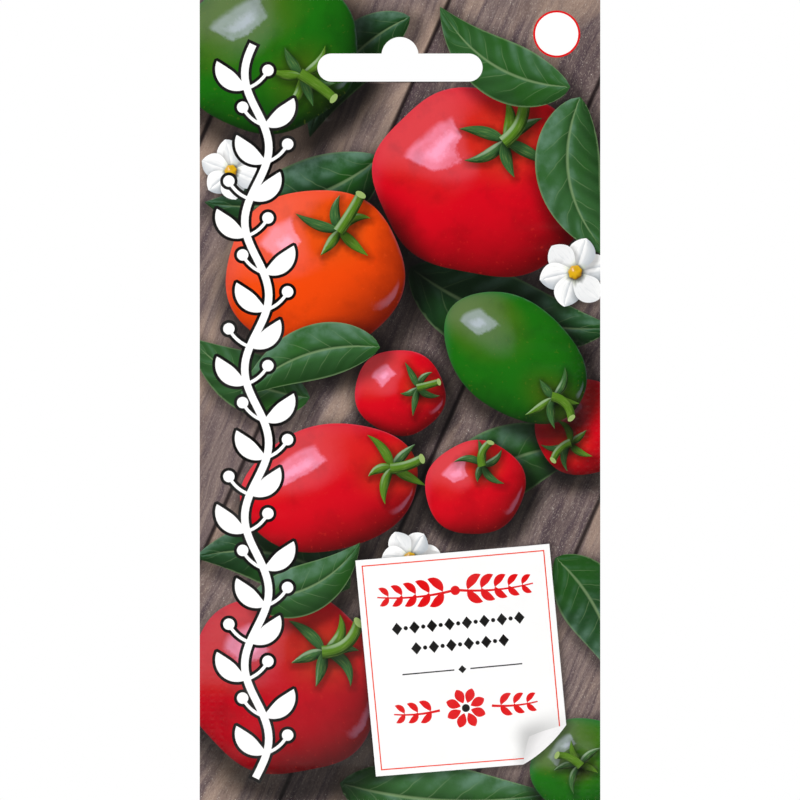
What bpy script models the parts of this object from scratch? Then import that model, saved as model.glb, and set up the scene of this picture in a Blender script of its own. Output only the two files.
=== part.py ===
"""Seed packet: a flat printed paper sachet, hung by the slot in its header, with loose seeds sealed in it.

Two sheets of coated paper, front and back, are heat-sealed to each other along a tall header, both
sides and the bottom. Between the seals they stand apart as a shallow pouch, widest low down where the
seeds lie. Metres, +Z up, the front faces -Y. The origin is where a display peg bears: the highest
point of the hang slot, midway between the sheets.
"""

import math
import random

import bmesh
import bpy
from mathutils import Euler, Vector

MM = 0.001

# The packet and its seals
PACKET_WIDTH = 80 * MM
PACKET_HEIGHT = 160 * MM
HEADER_HEIGHT = 24 * MM
SIDE_SEAL = 5 * MM
BOTTOM_SEAL = 7 * MM
SHEET_THICKNESS = 0.15 * MM
BOND_GAP = 0.05 * MM

# The hang slot: a long slot with round ends and a round hump over its middle
SLOT_DROP = 7.5 * MM
SLOT_LENGTH = 33 * MM
SLOT_HEIGHT = 5.6 * MM
HUMP_RADIUS = 3.7 * MM
HUMP_RISE = 3.3 * MM

# How far each sheet stands out from the bond at the fullest point of the pouch
FRONT_BULGE = 1.9 * MM
BACK_BULGE = 1.5 * MM
BELLY = 0.70
ROUNDING_ABOVE = 1.8
ROUNDING_BELOW = 2.4

# One seed, and the heap they settle into above the bottom seal
SEED_RADIUS = 1.9 * MM
SEED_HALF_THICKNESS = 0.36 * MM
SEED_ROWS = (6, 5, 4)
SEED_PITCH = 4.7 * MM
SEED_ROW_RISE = 4.1 * MM
FIRST_ROW_HEIGHT = 9.5 * MM
SEED_DRAW = 11

# The mesh
POUCH_COLUMNS = 14
POUCH_ROWS = 26
ARC_STEPS = 12
SEED_SIDES = 14

TOP = SLOT_DROP
BOTTOM = TOP - PACKET_HEIGHT
POUCH_TOP = TOP - HEADER_HEIGHT
POUCH_BOTTOM = BOTTOM + BOTTOM_SEAL
POUCH_HALF_WIDTH = PACKET_WIDTH / 2 - SIDE_SEAL
SLOT_TOP = -HUMP_RISE
SLOT_MIDDLE = SLOT_TOP - SLOT_HEIGHT / 2


def clear_scene():
    for obj in list(bpy.data.objects):
        bpy.data.objects.remove(obj, do_unlink=True)


def paint(name, colour, roughness):
    material = bpy.data.materials.new(name)
    material.use_nodes = True
    surface = material.node_tree.nodes["Principled BSDF"]
    surface.inputs["Base Color"].default_value = (*colour, 1.0)
    surface.inputs["Roughness"].default_value = roughness
    surface.inputs["Metallic"].default_value = 0.0
    return material


def add_object(name, mesh_builder, material=None):
    mesh = bpy.data.meshes.new(name)
    mesh_builder.to_mesh(mesh)
    mesh_builder.free()
    obj = bpy.data.objects.new(name, mesh)
    bpy.context.scene.collection.objects.link(obj)
    if material:
        mesh.materials.append(material)
    return obj


def fullness(x, z):
    """How far the pouch is open at a point of the front view, from 0 at its seals to 1 at its belly."""
    across = min(abs(x) / POUCH_HALF_WIDTH, 1.0)
    down = (POUCH_TOP - z) / (POUCH_TOP - POUCH_BOTTOM)
    if down <= 0.0 or down >= 1.0:
        return 0.0
    if down < BELLY:
        lengthwise = 1 - (1 - down / BELLY) ** ROUNDING_ABOVE
    else:
        lengthwise = 1 - (1 - (1 - down) / (1 - BELLY)) ** ROUNDING_BELOW
    return (1 - across**2) * lengthwise


def steps(start, end, count):
    return [start + (end - start) * i / count for i in range(count + 1)]


def slot_outline():
    """The slot's outline in the front view, as (x, z) points, anticlockwise from its lower left."""
    end_radius = SLOT_HEIGHT / 2
    end_x = SLOT_LENGTH / 2 - end_radius
    hump_middle = -HUMP_RADIUS
    spring = math.asin((SLOT_TOP - hump_middle) / HUMP_RADIUS)
    points = []
    for turn in steps(-math.pi / 2, math.pi / 2, ARC_STEPS):
        points.append((end_x + end_radius * math.cos(turn), SLOT_MIDDLE + end_radius * math.sin(turn)))
    for turn in steps(spring, math.pi - spring, ARC_STEPS):
        points.append((HUMP_RADIUS * math.cos(turn), hump_middle + HUMP_RADIUS * math.sin(turn)))
    for turn in steps(math.pi / 2, 3 * math.pi / 2, ARC_STEPS):
        points.append((-end_x + end_radius * math.cos(turn), SLOT_MIDDLE + end_radius * math.sin(turn)))
    return points


def make_slot_punch():
    """The punch that cuts the hang slot through both sheets. It is a helper and not a piece."""
    reach = 5 * MM
    shape = bmesh.new()
    face = shape.faces.new([shape.verts.new((x, -reach, z)) for x, z in slot_outline()])
    grown = bmesh.ops.extrude_face_region(shape, geom=[face])
    moved = [item for item in grown["geom"] if isinstance(item, bmesh.types.BMVert)]
    bmesh.ops.translate(shape, verts=moved, vec=(0, 2 * reach, 0))
    bmesh.ops.recalc_face_normals(shape, faces=shape.faces)
    punch = add_object("slot_punch", shape)
    punch.hide_render = True
    punch.display_type = "WIRE"
    return punch


def make_sheet(name, facing, bulge, material, punch):
    """One sheet of the packet. facing is -1 for the front and 1 for the back, bulge its greatest rise."""
    columns = [-PACKET_WIDTH / 2, *steps(-POUCH_HALF_WIDTH, POUCH_HALF_WIDTH, POUCH_COLUMNS), PACKET_WIDTH / 2]
    rows = [TOP, *steps(POUCH_TOP, POUCH_BOTTOM, POUCH_ROWS), BOTTOM]
    shape = bmesh.new()
    grid = [
        [shape.verts.new((x, facing * (BOND_GAP / 2 + bulge * fullness(x, z)), z)) for x in columns]
        for z in rows
    ]
    for upper, lower in zip(grid, grid[1:]):
        for left in range(len(columns) - 1):
            corners = [upper[left], lower[left], lower[left + 1], upper[left + 1]]
            shape.faces.new(corners if facing < 0 else corners[::-1])
    sheet = add_object(name, shape, material)

    thickness = sheet.modifiers.new("paper", "SOLIDIFY")
    thickness.thickness = SHEET_THICKNESS
    thickness.offset = 1.0
    thickness.use_even_offset = True
    slot = sheet.modifiers.new("hang slot", "BOOLEAN")
    slot.operation = "DIFFERENCE"
    slot.solver = "EXACT"
    slot.object = punch
    return sheet


def seed_radius(turn, size):
    """A seed's outline: a slightly squat disc with a small beak where it was attached."""
    beak = 0.20 * math.exp(-(((turn - math.pi / 2) / 0.35) ** 2))
    return size * (1 + 0.07 * math.cos(2 * turn) + beak)


def make_seed(name, size, place, tilt, material):
    """A flat disc, thinner in the middle and thickest just inside its edge."""
    shape = bmesh.new()
    rings = ((0.45, 0.72), (0.82, 1.0), (1.0, 0.45))
    loops = {}
    for side in (-1, 1):
        for share, thickness in rings:
            loops[side, share] = []
            for i in range(SEED_SIDES):
                turn = 2 * math.pi * i / SEED_SIDES
                reach = share * seed_radius(turn, size)
                point = (reach * math.cos(turn), side * thickness * SEED_HALF_THICKNESS, reach * math.sin(turn))
                loops[side, share].append(shape.verts.new(point))
    around = [(i, (i + 1) % SEED_SIDES) for i in range(SEED_SIDES)]
    for side in (-1, 1):
        middle = shape.verts.new((0, side * 0.78 * SEED_HALF_THICKNESS, 0))
        for i, j in around:
            shape.faces.new([middle, loops[side, rings[0][0]][i], loops[side, rings[0][0]][j]])
        for (inner, _), (outer, _) in zip(rings, rings[1:]):
            for i, j in around:
                a, b = loops[side, inner], loops[side, outer]
                shape.faces.new([a[i], b[i], b[j], a[j]])
    for i, j in around:
        front, back = loops[-1, 1.0], loops[1, 1.0]
        shape.faces.new([front[i], back[i], back[j], front[j]])
    bmesh.ops.recalc_face_normals(shape, faces=shape.faces)
    seed = add_object(name, shape, material)
    seed.data.shade_smooth()
    seed.location = place
    seed.rotation_euler = Euler(tilt)
    return seed


def make_seeds(material):
    """The seeds settle in rows, each one turned at random, midway between the two sheets."""
    draw = random.Random(SEED_DRAW)
    number = 0
    for row, count in enumerate(SEED_ROWS):
        for i in range(count):
            number += 1
            x = (i - (count - 1) / 2) * SEED_PITCH + draw.uniform(-0.1, 0.1) * MM
            z = POUCH_BOTTOM + FIRST_ROW_HEIGHT + row * SEED_ROW_RISE + draw.uniform(-0.1, 0.1) * MM
            y = fullness(x, z) * (BACK_BULGE - FRONT_BULGE) / 2
            tilt = (math.radians(draw.uniform(-3, 3)), draw.uniform(0, 2 * math.pi), 0.0)
            size = SEED_RADIUS * draw.uniform(0.93, 1.0)
            make_seed(f"seed_{number:02d}", size, Vector((x, y, z)), tilt, material)


def main():
    clear_scene()
    front_print = paint("front_print", (0.42, 0.13, 0.08), 0.35)
    back_print = paint("back_print", (0.86, 0.84, 0.76), 0.45)
    seed_coat = paint("seed_coat", (0.78, 0.62, 0.36), 0.60)
    punch = make_slot_punch()
    make_sheet("front_sheet", -1, FRONT_BULGE, front_print, punch)
    make_sheet("back_sheet", 1, BACK_BULGE, back_print, punch)
    make_seeds(seed_coat)


main()
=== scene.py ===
"""Seed packet, dressed over its CAD frame: two sheets of coated paper, printed, sealed and punched.

The packet hangs upright by the slot in its header, with its front towards -Y. The CAD and the finished
meshes are in metres. The printed artwork is drawn flat in millimetres, as (across, up) on the sheet.
"""

import math
import random
from dataclasses import dataclass
from functools import partialmethod
from typing import Callable

import bpy
import numpy as np
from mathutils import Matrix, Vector
from mathutils.geometry import delaunay_2d_cdt


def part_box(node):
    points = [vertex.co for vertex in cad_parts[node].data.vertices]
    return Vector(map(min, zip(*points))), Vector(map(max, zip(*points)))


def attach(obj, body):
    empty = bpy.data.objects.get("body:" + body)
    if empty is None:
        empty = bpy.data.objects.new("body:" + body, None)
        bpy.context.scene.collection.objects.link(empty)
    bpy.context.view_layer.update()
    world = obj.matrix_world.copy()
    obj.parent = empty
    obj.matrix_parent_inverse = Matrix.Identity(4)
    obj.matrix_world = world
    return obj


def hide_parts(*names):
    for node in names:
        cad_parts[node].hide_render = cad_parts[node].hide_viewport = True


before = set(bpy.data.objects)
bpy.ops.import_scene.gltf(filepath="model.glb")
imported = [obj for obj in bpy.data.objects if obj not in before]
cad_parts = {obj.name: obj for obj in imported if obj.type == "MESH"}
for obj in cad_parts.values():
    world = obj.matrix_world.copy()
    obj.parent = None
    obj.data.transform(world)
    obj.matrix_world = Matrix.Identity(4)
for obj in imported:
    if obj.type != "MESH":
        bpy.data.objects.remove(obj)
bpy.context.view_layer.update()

# The studio: a white room whose walls light the packet from the sides, with unlit ends, so that its gloss
# mirrors nothing bright to the camera. Three soft lamps stand round it, over a pale plaster floor. The
# camera looks straight at the front from far off.
MM = 0.001
LENS, SENSOR = 200.0, 36.0
SHARE_IN_VIEW = 0.9988
FLOOR_HEIGHT, FLOOR_RADIUS, FLOOR_SIDES = -0.45, 3.0, 96
WALL_LIGHT = 0.79


class Wire:
    """One value in a node tree. Arithmetic on it adds the Math nodes that work the result out."""

    def __init__(self, socket):
        self.socket = socket
        self.tree = socket.id_data

    def math(self, operation, *others):
        node = self.tree.nodes.new("ShaderNodeMath")
        node.operation = operation
        for socket, value in zip(node.inputs, (self, *others)):
            feed(socket, value)
        return Wire(node.outputs[0])

    __add__ = __radd__ = partialmethod(math, "ADD")
    __sub__ = partialmethod(math, "SUBTRACT")
    __rsub__ = partialmethod(math, "MULTIPLY_ADD", -1.0)
    __mul__ = __rmul__ = partialmethod(math, "MULTIPLY")
    __truediv__ = partialmethod(math, "DIVIDE")
    __pow__ = partialmethod(math, "POWER")

    def rises(self, start, end):
        """Goes smoothly from 0, where this is at start, to 1, where it is at end."""
        node = self.tree.nodes.new("ShaderNodeMapRange")
        node.interpolation_type = "SMOOTHSTEP"
        for socket, value in zip(node.inputs, (self, start, end)):
            feed(socket, value)
        return Wire(node.outputs[0])


def feed(socket, value):
    """Joins a wire to a node's input, or sets the input to a plain value."""
    if isinstance(value, Wire):
        socket.id_data.links.new(value.socket, socket)
    else:
        socket.default_value = value


def add(tree, kind, out=0, **inputs):
    """Adds a node with its inputs given by name, with _ for a space, and gives one of its outputs."""
    node = tree.nodes.new(kind)
    for key, value in inputs.items():
        feed(node.inputs[key.replace("_", " ")], value)
    return Wire(node.outputs[out])


def split(wire):
    """The three parts of a vector."""
    node = add(wire.tree, "ShaderNodeSeparateXYZ", Vector=wire).socket.node
    return [Wire(socket) for socket in node.outputs]


def joined(*parts):
    """A vector from three values, at least one of which is a wire."""
    tree = next(part.tree for part in parts if isinstance(part, Wire))
    return add(tree, "ShaderNodeCombineXYZ", X=parts[0], Y=parts[1], Z=parts[2])


def noise(at, scale, detail=3.0, roughness=0.55):
    """Smooth random variation, from about 0.2 to 0.8 round a mean of 0.5."""
    kind = "ShaderNodeTexNoise"
    return add(at.tree, kind, Vector=at, Scale=scale, Detail=detail, Roughness=roughness)


def mixed(share, first, second, blend="MIX"):
    """Two colours, mixed by a share from 0 to 1."""
    tree = next(part.tree for part in (share, first, second) if isinstance(part, Wire))
    node = tree.nodes.new("ShaderNodeMix")
    node.data_type = "RGBA"
    node.blend_type = blend
    for index, value in ((0, share), (6, first), (7, second)):
        feed(node.inputs[index], value)
    return Wire(node.outputs[2])


def finish(name, colour_of, roughness, sheen_level, tooth_scale, tooth_height):
    """A material: colour_of gives its colour from the tree, and a fine noise gives its surface a tooth."""
    material = bpy.data.materials.new(name)
    material.use_nodes = True
    tree = material.node_tree
    surface = tree.nodes["Principled BSDF"]
    surface.inputs["Roughness"].default_value = roughness
    surface.inputs["Specular IOR Level"].default_value = sheen_level
    place = add(tree, "ShaderNodeTexCoord", out=3)
    tooth = noise(place, tooth_scale, detail=2.0)
    bump = add(tree, "ShaderNodeBump", Strength=0.6, Distance=tooth_height, Height=tooth)
    feed(surface.inputs["Normal"], bump)
    feed(surface.inputs["Base Color"], colour_of(tree, place))
    return material


def plaster(tree, place):
    return mixed(noise(place, 3.0), (0.80, 0.79, 0.77, 1.0), (0.87, 0.86, 0.84, 1.0))


def mesh_object(name, points, faces):
    mesh = bpy.data.meshes.new(name)
    mesh.from_pydata(points, [], faces)
    piece = bpy.data.objects.new(name, mesh)
    bpy.context.scene.collection.objects.link(piece)
    return piece


def lamp(name, place, aim, size, power):
    """A square soft lamp that faces its aim."""
    light = bpy.data.lights.new(name, "AREA")
    light.shape = "SQUARE"
    light.size = size
    light.energy = power
    lit = bpy.data.objects.new(name, light)
    lit.location = place
    lit.rotation_euler = (Vector(aim) - Vector(place)).to_track_quat("-Z", "Y").to_euler()
    bpy.context.scene.collection.objects.link(lit)


# The room's walls are brightest at the upper left. The camera sees them plain white.
room = bpy.data.worlds.new("white_room")
room.use_nodes = True
sky = room.node_tree.nodes["Background"].inputs
sky["Color"].default_value = (1.0, 1.0, 1.0, 1.0)
side, depth, height = split(add(room.node_tree, "ShaderNodeTexCoord"))
dark_ends = depth.math("ABSOLUTE").rises(0.66, 0.92)
glow = (1 - dark_ends * 0.92) * (side * -0.18 + height * 0.22 + 1.0) * WALL_LIGHT
seen = add(room.node_tree, "ShaderNodeLightPath")
feed(sky["Strength"], seen + (1 - seen) * glow)
bpy.context.scene.world = room
bpy.context.scene.view_settings.view_transform = "Standard"

turns = [2 * math.pi * i / FLOOR_SIDES for i in range(FLOOR_SIDES)]
rim = [(FLOOR_RADIUS * math.cos(turn), FLOOR_RADIUS * math.sin(turn), FLOOR_HEIGHT) for turn in turns]
floor = mesh_object("floor", rim, [list(range(FLOOR_SIDES))])
floor.data.materials.append(finish("floor_plaster", plaster, 0.8, 0.2, 60.0, 0.0005))

sheet_low, sheet_high = (Vector(corner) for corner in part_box("front_sheet"))
middle_height = (sheet_low.z + sheet_high.z) / 2
target = (0.0, 0.0, middle_height)
lamp("key_lamp", (-0.9, -0.9, 0.8), target, 0.45, 10.0)
lamp("side_lamp", (1.2, -0.9, 0.2), target, 0.8, 3.0)
lamp("back_lamp", (0.9, 0.9, 0.7), target, 0.45, 10.0)

lens = bpy.data.cameras.new("camera")
lens.lens = LENS
lens.sensor_width = SENSOR
away = (sheet_high.z - sheet_low.z) * SHARE_IN_VIEW * LENS / SENSOR
camera = bpy.data.objects.new("camera", lens)
camera.location = (0.0, -away, middle_height)
camera.rotation_euler = (math.pi / 2, 0.0, 0.0)
bpy.context.scene.collection.objects.link(camera)
bpy.context.scene.camera = camera

# The two sheets: each is cut from a web of thin white paper, printed and coated on its outer side. The
# heat seal presses fine ribs into both at once, across the seals, and leaves the pouch between them to
# stand out a little. Here a sheet is drawn flat first, then a node tree gives it the pouch's form.
LEFT, RIGHT = sheet_low.x / MM, sheet_high.x / MM
FOOT, HEAD = sheet_low.z / MM, sheet_high.z / MM
PAPER, BOND_GAP = 0.15, 0.05
FRONT_BULGE, BACK_BULGE = 1.9, 1.5
POUCH_HALF_WIDTH, POUCH_TOP, POUCH_FOOT = 35.0, HEAD - 24.0, FOOT + 7.0
RIBBED_TOP = POUCH_TOP + 6.4
RIB_PITCH, RIB_HEIGHT = 1.2, 0.03
RIB_STEP, SEAL_INSET = RIB_PITCH / 4, 0.6
SLOT_LENGTH, SLOT_HEIGHT, SLOT_TOP, HUMP_RADIUS = 33.0, 5.6, -3.3, 3.7
FRONT_LATTICE, BACK_LATTICE, INNER_LATTICE, ROW_SHARE = 1.0, 2.0, 1.6, 0.87
CLEARANCE, INNER_CLEARANCE, SAME_PLACE = 0.38, 1.0, 0.00001


def arc(middle, radius, start, end, count):
    turns = np.linspace(start, end, count)
    return np.array(middle) + radius * np.stack([np.cos(turns), np.sin(turns)], 1)


def round_outline(middle, radius, count):
    return arc(middle, radius, 0, 2 * math.pi, count + 1)[:-1]


def boxed(left, foot, right, head):
    return np.array([(left, foot), (right, foot), (right, head), (left, head)], float)


def ringed(outline):
    """The outline with its points in anticlockwise order."""
    across, up = outline.T
    area = (across * np.roll(up, -1) - up * np.roll(across, -1)).sum()
    return outline if area > 0 else outline[::-1]


def stepped(corners, step):
    """The outline with points added, so that none of its sides is longer than about one step."""
    points = []
    for start, end in zip(corners, np.roll(corners, -1, axis=0)):
        count = max(1, round(float(np.linalg.norm(end - start)) / step))
        points.extend(start + (end - start) * i / count for i in range(count))
    return np.array(points)


def slot_outline():
    """The hang slot: a long slot with round ends, and a round hump over its middle for the peg."""
    end_radius = SLOT_HEIGHT / 2
    end = SLOT_LENGTH / 2 - end_radius
    middle = SLOT_TOP - end_radius
    spring = math.asin((SLOT_TOP + HUMP_RADIUS) / HUMP_RADIUS)
    parts = [
        arc((end, middle), end_radius, -math.pi / 2, math.pi / 2, 25),
        arc((0.0, -HUMP_RADIUS), HUMP_RADIUS, spring, math.pi - spring, 33),
        arc((-end, middle), end_radius, math.pi / 2, 3 * math.pi / 2, 25),
    ]
    return np.concatenate(parts)


def edge_distance(points, outline):
    """How far each point is from the outline, less than 0 inside it."""
    nearest = np.full(len(points), np.inf)
    inside = np.zeros(len(points), bool)
    for start, end in zip(outline, np.roll(outline, -1, axis=0)):
        side = end - start
        gap = points - start
        along = np.clip(gap @ side / max(side @ side, 1e-12), 0, 1)
        nearest = np.minimum(nearest, np.linalg.norm(gap - along[:, None] * side, axis=1))
        spans = (start[1] > points[:, 1]) != (end[1] > points[:, 1])
        rise = side[1] if side[1] else 1e-12
        inside ^= spans & (gap[:, 0] < (points[:, 1] - start[1]) * side[0] / rise)
    return np.where(inside, -nearest, nearest)


def smooth(value, start, end):
    share = np.clip((value - start) / (end - start), 0, 1)
    return share * share * (3 - 2 * share)


@dataclass
class Motif:
    """One printed shape in one ink.

    wrap gives, for points on the shape, the place and the slope that its ink reads there. fade gives how
    much light they get. shadow is the soft shadow that the shape prints on whatever lies under it: how
    dark and how wide it is, and how far it falls across and up.
    """

    outline: np.ndarray
    tint: tuple
    ink: str = "flat"
    wrap: Callable = None
    shadow: tuple = None
    fade: Callable = None

    def dims(self, points):
        """How much of the light this shape's shadow leaves to points under it."""
        light = np.ones(len(points))
        if self.shadow is None:
            return light
        dark, soft, across, up = self.shadow
        moved = points - (across, up)
        low, high = self.outline.min(0) - soft, self.outline.max(0) + soft
        near = ((moved > low) & (moved < high)).all(1)
        if near.any():
            light[near] = 1 - dark * (1 - smooth(edge_distance(moved[near], self.outline), 0, soft))
        return light


def clear_of(points, ends, least):
    """The points that are further than least from every one of the ends."""
    gaps = [np.linalg.norm(ends - point, axis=1).min() for point in points]
    return points[np.array(gaps) > least]


def lattice_points(outlines, gap):
    """Points all over the sheet, closer together on the ribbed seals, none hard against an outline."""
    points = [
        (across, up)
        for row, up in enumerate(np.arange(FOOT + gap / 2, HEAD, gap * ROW_SHARE))
        for across in np.arange(LEFT + gap / 2 * (1 + row % 2), RIGHT - gap / 4, gap)
    ]
    for up in np.arange(FOOT + SEAL_INSET, RIBBED_TOP, RIB_STEP):
        for across in (POUCH_HALF_WIDTH + SEAL_INSET, (POUCH_HALF_WIDTH + RIGHT) / 2, RIGHT - SEAL_INSET):
            points += [(across, up), (-across, up)]
    for across in np.arange(-POUCH_HALF_WIDTH, POUCH_HALF_WIDTH, RIB_STEP):
        for low, high in ((FOOT, POUCH_FOOT), (POUCH_TOP, RIBBED_TOP)):
            points += [(across, up) for up in (low + SEAL_INSET, (low + high) / 2, high - SEAL_INSET)]
    points = np.array(points)
    across, up = points.T
    on_seal = (np.abs(across) > POUCH_HALF_WIDTH) | (up < POUCH_FOOT) | (up > POUCH_TOP)
    return clear_of(points, np.concatenate(outlines), np.where(on_seal, RIB_STEP / 2, CLEARANCE))


def cut_apart(outlines, loose):
    """Triangles over the whole sheet that keep to every outline, and the topmost outline round each.

    The first outline is the sheet's border, and the second is the slot, which is left out.
    """
    points = [tuple(point) for outline in outlines for point in outline]
    loops = []
    for outline in outlines:
        first = loops[-1][-1] + 1 if loops else 0
        loops.append(list(range(first, first + len(outline))))
    points += [tuple(point) for point in loose]
    found = delaunay_2d_cdt([Vector(point) for point in points], [], loops, 0, SAME_PLACE, True)
    places, triangles, round_each = np.array(found[0]), found[2], found[5]
    kept = [
        (triangle, max(owners))
        for triangle, owners in zip(triangles, round_each)
        if 0 in owners and 1 not in owners
    ]
    used, corners = np.unique([triangle for triangle, _ in kept], return_inverse=True)
    return places[used], corners.reshape(-1, 3), np.array([topmost for _, topmost in kept])


def rim_sides(corners):
    """The sides that only one triangle has, each as a pair of points in that triangle's order."""
    sides = [
        side
        for triangle in corners.tolist()
        for side in zip(triangle, triangle[1:] + triangle[:1])
    ]
    known = set(sides)
    return [side for side in sides if side[::-1] not in known]


def inner_side(outer, rim, outlines):
    """The sheet's plain side: its places, its faces, and the place that lies under each rim point."""
    number = {point: i for i, point in enumerate(sorted({point for side in rim for point in side}))}
    ends = outer[list(number)]
    loose = clear_of(lattice_points(outlines, INNER_LATTICE), ends, INNER_CLEARANCE)
    sides = [(number[start], number[end]) for start, end in rim]
    flat = [Vector(tuple(place)) for place in (*ends, *loose)]
    found = delaunay_2d_cdt(flat, sides, [], 0, SAME_PLACE, True)
    places = np.array(found[0])
    middles = np.array([places[list(face)].mean(0) for face in found[2]])
    in_slot = edge_distance(middles, slot_outline()) < 0
    faces = [list(face) for face, lost in zip(found[2], in_slot) if not lost]
    became = {old: new for new, olds in enumerate(found[3]) for old in olds}
    return places, faces, {point: became[i] for point, i in number.items()}


# The inks. Each reads, from the mesh, the tint, place and slope of the shape that it is printed in. The
# picture's own light comes from the upper left.
PICTURE_LIGHT = (-0.46, 0.56, 0.69)
PLANK_WIDTH, PLANK_SHIFT, PLANK_LEAN = 34.0, 6.0, math.radians(66)
WINDOW_LEAN = math.radians(40)


def ink(red, green, blue):
    """A printed colour by its 0 to 255 values, as the linear values that a shader takes."""
    return (*((part / 255) ** 2.2 for part in (red, green, blue)), 1.0)


def attribute(tree, name, out=1):
    node = tree.nodes.new("ShaderNodeAttribute")
    node.attribute_name = name
    return Wire(node.outputs[out])


def darker(tint, red, green, blue):
    return mixed(1.0, tint, (red, green, blue, 1.0), blend="MULTIPLY")


def facing_viewer(slope_x, slope_z, least=0.0):
    """How far a surface of this slope is turned towards the viewer, from 0 to 1."""
    return (1 - slope_x * slope_x - slope_z * slope_z).math("MAXIMUM", least).math("SQRT")


def facing_light(slope_x, slope_z, toward):
    """How far it is turned towards the picture's light, from -1 to 1."""
    return slope_x * PICTURE_LIGHT[0] + slope_z * PICTURE_LIGHT[1] + toward * PICTURE_LIGHT[2]


def board_colour(tree, place, tint):
    """Old planks, grey and brown, with long grain, paler worn streaks, grit and dark joints."""
    across, _, up = split(place)
    across, up = across * (1 / MM), up * (1 / MM)
    along = across * math.cos(PLANK_LEAN) + up * math.sin(PLANK_LEAN)
    over = up * math.cos(PLANK_LEAN) - across * math.sin(PLANK_LEAN)
    own = ((over + PLANK_SHIFT) / PLANK_WIDTH).math("FLOOR") * 17.3
    curved = over + (noise(joined(along * 0.022, over * 0.05, own), 1.0) - 0.5) * 9

    def streaks(lengthwise, crosswise, shift=0.0, detail=3.0, roughness=0.55):
        at = joined(along * lengthwise, curved * crosswise, own + shift)
        return noise(at, 1.0, detail=detail, roughness=roughness)

    grain = streaks(0.04, 0.85, detail=6.0, roughness=0.6)
    fibre = streaks(0.30, 6.0, detail=4.0, roughness=0.7)
    pale = streaks(0.030, 0.13, shift=5)
    deep = streaks(0.018, 0.07, shift=9, detail=2.0)
    worn = streaks(1.6, 2.6, detail=4.0)
    grit = streaks(1.9, 4.2, roughness=0.75)
    glint = streaks(3.4, 3.8, shift=3, detail=1.0)
    colour = mixed(grain.rises(0.30, 0.70), ink(88, 74, 80), ink(142, 124, 118))
    for pattern, start, end, share, tone in (
        (pale, 0.46, 0.68, 0.75, ink(178, 152, 134)),
        (deep, 0.52, 0.72, 0.62, ink(66, 52, 60)),
        (fibre, 0.50, 0.76, 0.38, ink(58, 45, 48)),
        (1 - fibre, 0.54, 0.78, 0.30, ink(186, 172, 160)),
        (worn, 0.62, 0.74, 0.22, ink(196, 184, 172)),
        (grit, 0.52, 0.74, 0.42, ink(206, 192, 176)),
        (1 - grit, 0.52, 0.72, 0.34, ink(52, 42, 44)),
        (glint, 0.70, 0.76, 0.55, ink(228, 220, 210)),
    ):
        colour = mixed(pattern.rises(start, end) * share, colour, tone)
    joint = ((over + PLANK_SHIFT) / PLANK_WIDTH).math("PINGPONG", 0.5)
    return mixed((1 - joint.rises(0.004, 0.022)) * 0.92, colour, ink(30, 21, 24))


def wobble(place, scale, depth):
    """The slight unevenness of a skin, as a change in its slope."""
    return (noise(place, scale, detail=2.0) - 0.5) * depth


def gleams(place, slope_x, slope_z, toward):
    """Highlights on glossy skin: a window at the upper left, a weak one at the lower right, the sky."""
    back_x = (slope_x + wobble(place, 1900.0, 0.05)) * toward * 2
    back_z = (slope_z + wobble(place, 1730.0, 0.05)) * toward * 2
    ahead = (toward * toward * 2 - 1).rises(-0.10, 0.16)
    from_x, from_z = back_x + 0.54, back_z - 0.64
    wide = (from_x * math.cos(WINDOW_LEAN) + from_z * math.sin(WINDOW_LEAN)).math("ABSOLUTE")
    high = (from_z * math.cos(WINDOW_LEAN) - from_x * math.sin(WINDOW_LEAN)).math("ABSOLUTE")
    window = (1 - high.rises(0.15, 0.23)) * (1 - wide.rises(0.36, 0.46))
    window = window * (noise(place, 240.0).rises(0.2, 0.6) * 0.4 + 0.6) * ahead
    core = (1 - high.rises(0.02, 0.12)) * (1 - wide.rises(0.12, 0.30)) * ahead
    halo = 1 - (from_x * from_x + from_z * from_z * 0.8).rises(0.0, 0.70)
    low_x, low_z = back_x - 0.74, back_z + 0.34
    second = (1 - (low_x * low_x * 7 + low_z * low_z).rises(0.0, 0.10)) * (1 - ahead)
    sky = (1 - toward).rises(0.74, 1.0) * (slope_z * 0.5 + 0.5).math("MAXIMUM", 0.0)
    return window * 0.72 + core * 0.55 + halo * 0.13 + second * 0.20 + sky * 0.16


def fruit_colour(tree, place, tint):
    """Glossy skin: it reads the skin's slope, so the print holds its own shade and highlights."""
    slope_x, slope_z, _ = split(attribute(tree, "relief"))
    _, _, from_stalk = split(attribute(tree, "place"))
    slope_x, slope_z = slope_x + wobble(place, 420.0, 0.06), slope_z + wobble(place, 371.0, 0.06)
    toward = facing_viewer(slope_x, slope_z)
    body = facing_light(slope_x, slope_z, toward) * 0.5 + 0.5
    dark = darker(tint, 0.16, 0.09, 0.12)
    bright = mixed(0.14, tint, (1.0, 0.30, 0.10, 1.0))
    colour = mixed(body.rises(0.22, 0.84), dark, tint)
    colour = mixed(body.rises(0.80, 1.0) * 0.5, colour, bright)
    shoulder = (1 - from_stalk.rises(0.05, 0.60)) * 0.40
    colour = mixed(shoulder, colour, mixed(0.5, tint, ink(120, 96, 24)))
    colour = mixed(noise(place, 190.0, detail=4.0).rises(0.45, 0.75) * 0.22, colour, dark)
    colour = mixed(noise(place, 1500.0, detail=1.0).rises(0.68, 0.74) * 0.18, colour, bright)
    gleam = gleams(place, slope_x, slope_z, toward) * from_stalk.rises(0.22, 0.42)
    shine = darker(joined(gleam, gleam, gleam), 0.26, 0.25, 0.38)
    return mixed(1.0, colour, shine, blend="ADD")


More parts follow.
